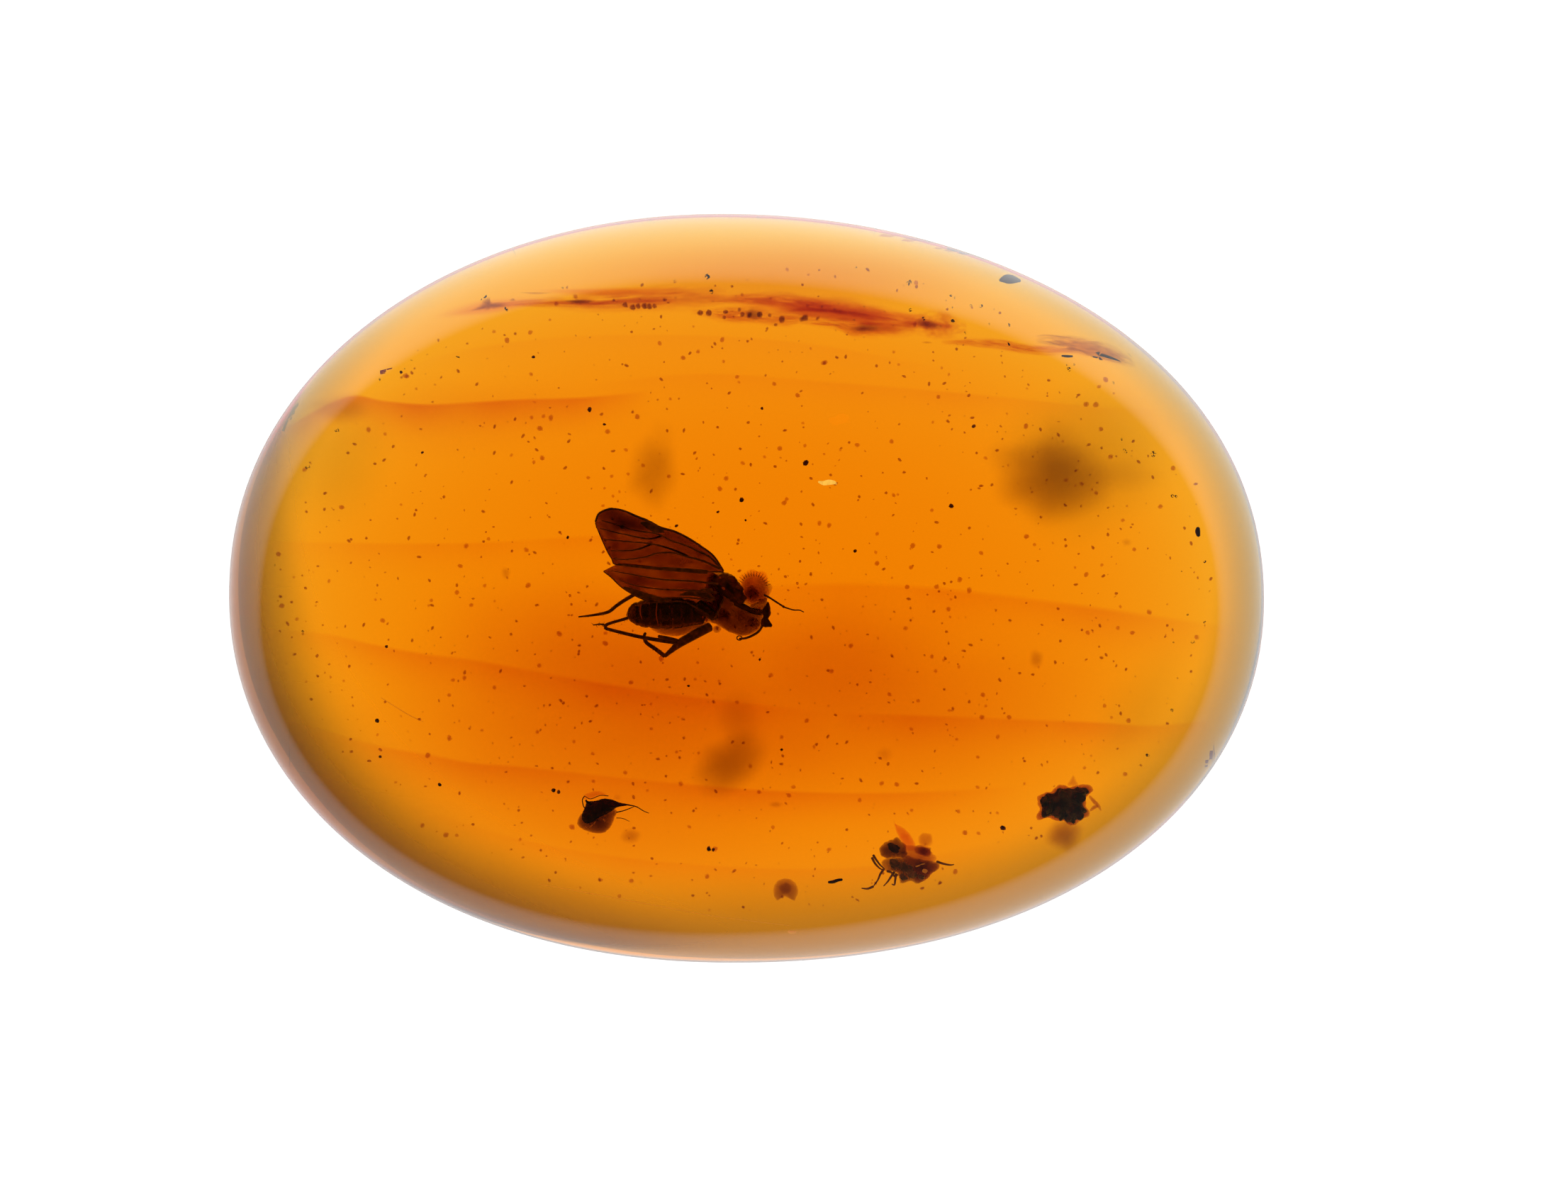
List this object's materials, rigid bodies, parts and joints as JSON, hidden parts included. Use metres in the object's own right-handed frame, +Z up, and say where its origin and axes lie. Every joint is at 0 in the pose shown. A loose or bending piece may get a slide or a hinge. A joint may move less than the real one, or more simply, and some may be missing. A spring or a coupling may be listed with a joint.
{
  "type": "insect in amber",
  "caption": "Polished oval amber stone with a domed top and a flat foot, a small winged insect sealed inside among flow layers, plant scraps and specks.",
  "frame": {"origin": "centre of the stone's outline, on the plane of its flat foot", "axes": "+X along the stone's length, +Y across it towards its thin edge, +Z up through the dome"},
  "size_m": [0.024, 0.0174, 0.008],
  "materials": {
    "amber": "clear honey-orange amber, hand polished; see-through with an index of refraction of 1.54, and about 8 mm deep at most"
  },
  "bodies": {
    "root": {"amber_stone": "amber"}
  },
  "joints": []
}
